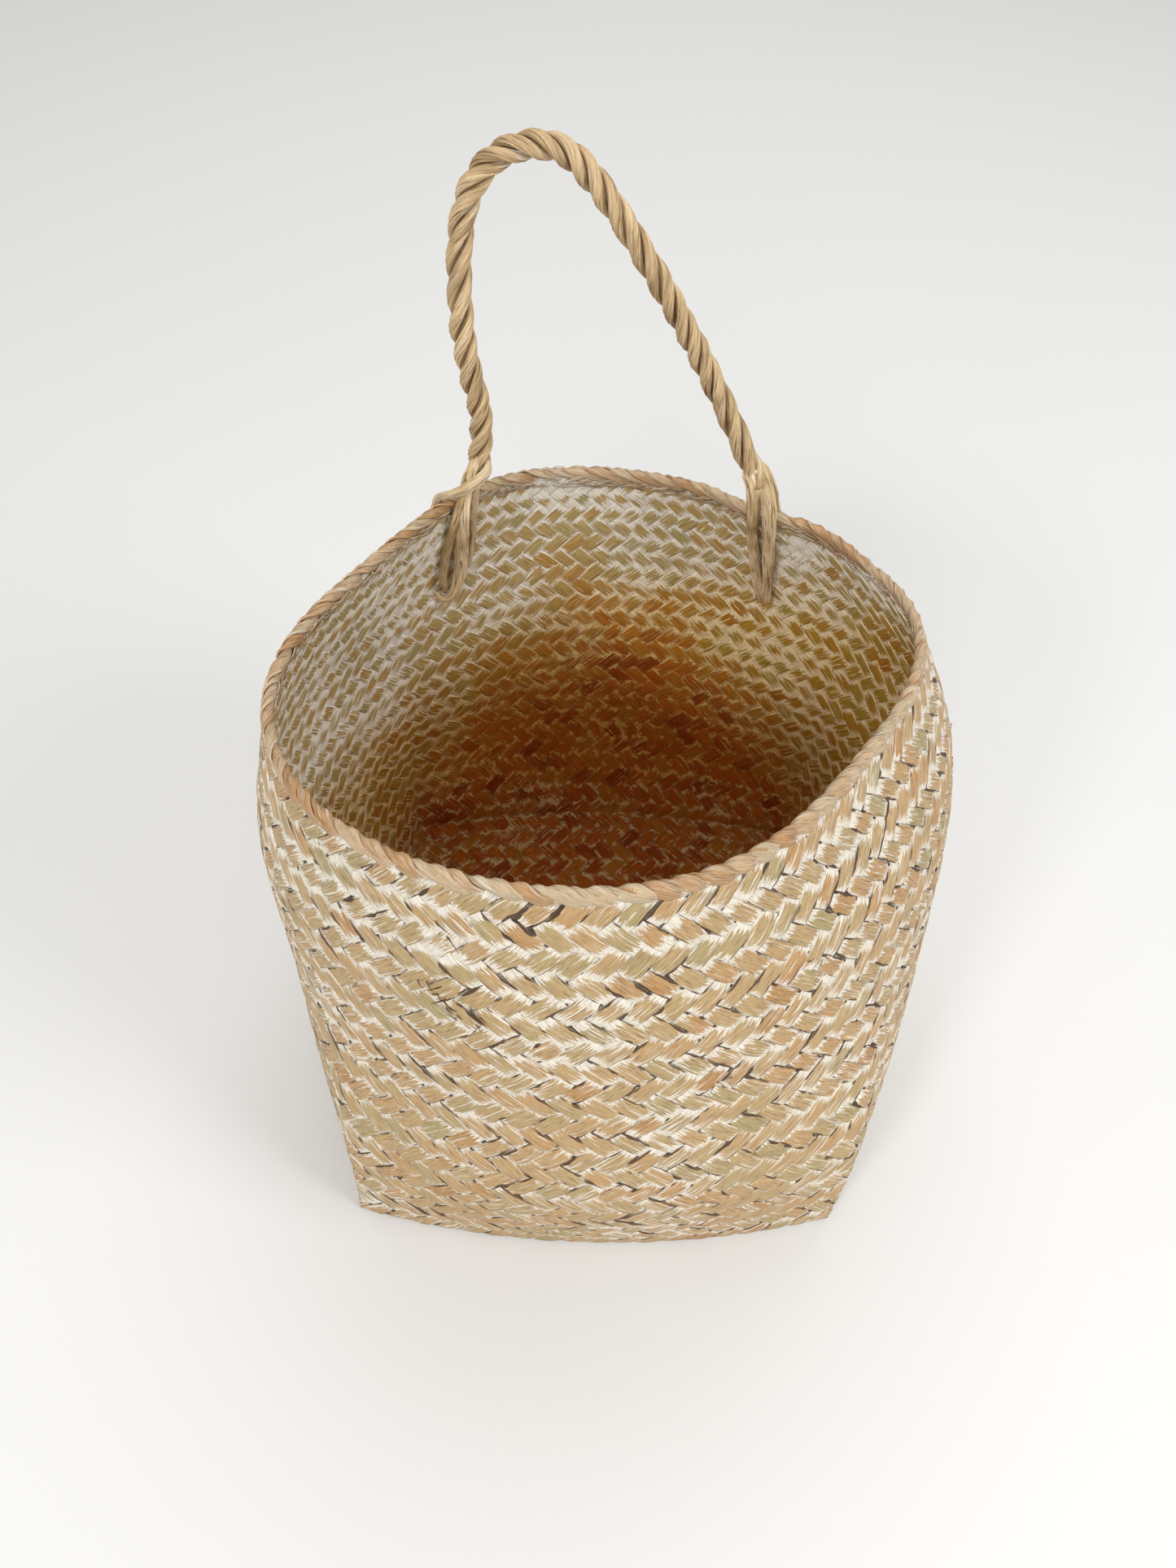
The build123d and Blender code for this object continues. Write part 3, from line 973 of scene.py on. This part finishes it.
# node: half width, half thickness, tone, twist for each mm, and its route up to the rope.
# A route's points are (degrees round, share of the height, depth inside the outer face) beside
# the wall, with a fourth number that raises the point, or ("at", x, y, z).
STRANDS = {
    "left_leg_main": (2.9, 1.9, 0.75, 0.030, (
        (129.0, 0.750, -0.4), (128.9, 0.751, 3.0), (128.2, 0.756, 5.2), (127.1, 0.766, 6.0),
        (125.9, 0.797, 5.6), (125.6, 0.835, 5.2), (127.0, 0.89, 5.2), (128.4, 0.945, 5.6),
        ("at", -51.2, 63.2, 191.0), ("at", -50.0, 65.4, 197.0), ("at", -47.8, 66.4, 202.5),
        ("at", -45.6, 66.6, 208.0),
    )),
    "left_leg_thin": (1.5, 1.1, 0.95, 0.0, (
        (124.2, 0.800, 4.6), (123.1, 0.84, 4.4), (123.3, 0.893, 4.4), (124.7, 0.955, 4.8),
        ("at", -47.9, 66.6, 192.6), ("at", -47.0, 66.2, 198.5), ("at", -45.0, 66.4, 204.5),
    )),
    "left_leg_rear": (2.0, 1.5, -0.9, -0.02, (
        (129.2, 0.774, -0.4), (129.3, 0.778, 3.2), (129.7, 0.793, 5.4), (130.6, 0.82, 4.7),
        (130.0, 0.88, 3.8), (130.0, 0.93, 4.0),
        ("at", -52.0, 62.2, 192.0), ("at", -50.4, 64.8, 198.0), ("at", -48.4, 67.4, 203.5),
    )),
    "left_outer_strand": (2.2, 1.0, 1.05, 0.0, (
        (129.1, 0.7625, -1.0), (129.3, 0.766, -3.7), (130.0, 0.779, -4.5), (131.0, 0.81, -3.2),
        (131.6, 0.87, -2.8), (131.7, 0.93, -2.8), (131.2, 0.97, -2.6),
        ("at", -59.0, 62.4, 194.4), ("at", -58.2, 61.0, 196.5), ("at", -55.4, 59.4, 198.2),
        ("at", -52.0, 58.5, 199.8), ("at", -48.2, 58.9, 201.7), ("at", -44.8, 60.8, 203.6),
        ("at", -42.2, 64.6, 204.8), ("at", -42.8, 68.4, 205.2),
    )),
    "right_leg_front": (2.9, 2.0, 0.6, 0.03, (
        (58.4, 0.739, -0.4), (58.4, 0.742, 3.1), (58.4, 0.757, 5.5), (58.6, 0.775, 5.3),
        (58.6, 0.82, 5.0), (58.0, 0.88, 5.0), (56.9, 0.935, 5.1),
        ("at", 41.8, 68.0, 187.5), ("at", 41.3, 67.2, 194.5), ("at", 40.4, 66.6, 201.0),
        ("at", 37.6, 67.0, 207.0),
    )),
    "right_leg_rear": (2.5, 1.8, 0.8, 0.0, (
        (57.3, 0.737, -0.4), (57.3, 0.740, 3.1), (57.2, 0.752, 5.4), (56.9, 0.775, 5.4),
        (56.0, 0.835, 5.0), (54.9, 0.885, 4.9), (53.4, 0.94, 5.1),
        ("at", 46.8, 65.5, 188.0), ("at", 45.8, 65.9, 194.6), ("at", 43.6, 67.6, 200.5),
        ("at", 40.2, 69.2, 206.0),
    )),
    "right_outer_strand": (2.0, 1.1, 0.5, 0.0, (
        (57.5, 0.739, -1.0), (57.4, 0.742, -3.7), (57.0, 0.755, -4.5), (56.0, 0.786, -3.2),
        (54.6, 0.86, -2.7), (53.4, 0.93, -3.0), (52.8, 0.985, -3.2), (52.7, 1.0, -2.8, 1.4),
        (52.5, 1.0, -1.0, 4.4),
        ("at", 46.4, 70.2, 196.4), ("at", 44.4, 70.6, 201.5), ("at", 41.0, 70.4, 206.0),
    )),
}
STRAND_STEP = 0.8           # mm from ring to ring
STRAND_FADE = 3.0           # mm over which a strand's ends narrow
LEG_TAPER = ((0, 0.15, 0.5, 1), (0.55, 0.66, 0.98, 1.15))   # share of its length: of its width


def loose_strands(material):
    for index, (node, (wide, thick, tone, twist, route)) in enumerate(STRANDS.items()):
        rng = random.Random(40 + index)
        points = [p[1:] if p[0] == "at" else beside_wall(*p) for p in route]
        line, at = resample(nurbs(points), STRAND_STEP)
        tangents = unit(np.gradient(line, axis=0))
        # the section's wide way lies flat on the wall
        u = np.arctan2(line[:, 1] - BASE_XY[1], line[:, 0] - BASE_XY[0])
        out = np.stack([np.cos(u), np.sin(u), np.zeros_like(u)], -1)
        side = unit(np.cross(tangents, out))
        front = np.cross(side, tangents)
        width = wide
        if not node.endswith("outer_strand"):
            # a leg is narrower where it goes into its hole
            width = wide * np.interp(at / at[-1], *LEG_TAPER)
        parts = Parts()
        axes = (side, front)
        strand(parts, line, at, axes, width, thick, rng, tone, turn=twist * at, fade=STRAND_FADE)
        obj = parts.make(f"{node}_fibres", None, material)
        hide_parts(node)
        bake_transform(obj)


# ---------------------------------------------------------------- frayed fibres
FRAYED_SPOTS = (            # pitches round and rows up the wall, broken fibres, their length in mm
    (61.3, 16.2, 5, 5.5),
    (62.1, 15.6, 8, 5.0),
    (62.9, 15.1, 5, 4.0),
    (61.8, 19.1, 3, 5.0),
    (70.1, 12.1, 4, 4.0),
    (10.7, 16.0, 4, 6.0),
    (73.6, 15.9, 3, 4.0),
    (47.4, 13.0, 3, 5.0),
    (30.2, 14.5, 5, 6.0),
)
PITCH = 8.6                 # mm in a pitch round the wall, or about a row up it
FRAY_RINGS = 12
FRAY_AROUND = 8


def frayed_fibres(material):
    """Thin splinters of broken strips that stand a little off the wall."""
    rng = random.Random(77)
    parts = Parts()
    f = np.linspace(0, 1, FRAY_RINGS)
    taper = 1 - 0.75 * f
    for w, s, count, length in FRAYED_SPOTS:
        for _ in range(count):
            start_w = w + rng.uniform(-0.45, 0.45)
            start_s = s + rng.uniform(-0.4, 0.4)
            reach = length * rng.uniform(0.5, 1.1) / PITCH
            slope = rng.choice((-0.9, -0.7, -1.4)) + rng.uniform(-0.3, 0.3)
            bend = rng.uniform(-0.25, 0.25)
            way = rng.choice((1, 1, 1, 1, -1))
            across = start_w + way * reach * f / np.hypot(1, slope)
            up = start_s + reach * slope * f / np.hypot(1, slope) + bend * f**2
            off = 0.75 + rng.uniform(0.1, 1.3) * f ** rng.uniform(0.7, 1.6)
            line = OUTER.wall(across, up, off)
            wide = rng.uniform(0.18, 0.36) * taper
            tone = rng.random()
            at = lengths_along(line)
            strand(parts, line, at, frames(line), wide, 0.10 * taper, rng, tone, FRAY_AROUND)
    parts.make("wall_frayed_fibres", "basket", material)


# ---------------------------------------------------------------- room
FLOOR_HALF = 6.0            # metres
FLOOR_COLOUR = (0.70, 0.70, 0.69, 1)
WORLD_COLOUR = (1.0, 0.99, 0.975, 1)
WORLD_STRENGTH = 0.58
LIGHTS = (                  # name, place, what it is aimed at, size and power
    ("key", (1.11, -0.52, 1.03), (0, 0, 0.1), 0.60, 10.0),
    ("front", (-0.24, -1.30, 0.92), (0, 0, 0.1), 0.40, 6.2),
    ("side", (-0.76, -1.08, 1.00), (0, 0, 0.1), 0.28, 7.2),
    ("back", (0.1, 1.0, 1.7), (0, 0.5, 0.0), 1.4, 12.0),
)


def add_floor():
    nodes = Nodes("pale_floor")
    nodes.shader.inputs["Base Color"].default_value = FLOOR_COLOUR
    nodes.shader.inputs["Roughness"].default_value = 0.55
    mesh = bpy.data.meshes.new("floor")
    corners = [(x * FLOOR_HALF, y * FLOOR_HALF, 0) for x, y in ((-1, -1), (1, -1), (1, 1), (-1, 1))]
    mesh.from_pydata(corners, [], [(0, 1, 2, 3)])
    mesh.materials.append(nodes.material)
    floor = bpy.data.objects.new("floor", mesh)
    bpy.context.scene.collection.objects.link(floor)


def add_lights():
    world = bpy.data.worlds.new("studio")
    world.use_nodes = True
    background = world.node_tree.nodes["Background"]
    background.inputs["Color"].default_value = WORLD_COLOUR
    background.inputs["Strength"].default_value = WORLD_STRENGTH
    bpy.context.scene.world = world
    bpy.context.scene.view_settings.view_transform = "Standard"
    for name, place, aim, size, power in LIGHTS:
        light = bpy.data.lights.new(name, "AREA")
        light.size = size
        light.energy = power
        obj = bpy.data.objects.new(name, light)
        bpy.context.scene.collection.objects.link(obj)
        obj.location = place
        obj.rotation_euler = (Vector(aim) - Vector(place)).to_track_quat("-Z", "Y").to_euler()


# ---------------------------------------------------------------- making
add_camera()
twisted_rope(fibre_material("rope_fibre", ROPE_STOPS, 0.55))
loose_strands(fibre_material("strand_fibre", STRAND_STOPS, 0.9))
plait_material = strip_material("plaited_strip", OUTER_STOPS, 1.0, 0.95)
outer_meshes = plaited_layer(OUTER, "plait", plait_material, 21)
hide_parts("woven_wall", "base_panel")
plaited_layer(LINING, "lining", plait_material, 22)
rim_material = strip_material("border_strip", BORDER_STOPS, 0.45)
tuck_material = strip_material("tucked_strip", TUCKED_STOPS, 0.9)
folded_rim(rim_material, tuck_material)
frayed_fibres(fibre_material("frayed_fibre", FRAYED_STOPS, 0.1))
add_floor()
add_lights()
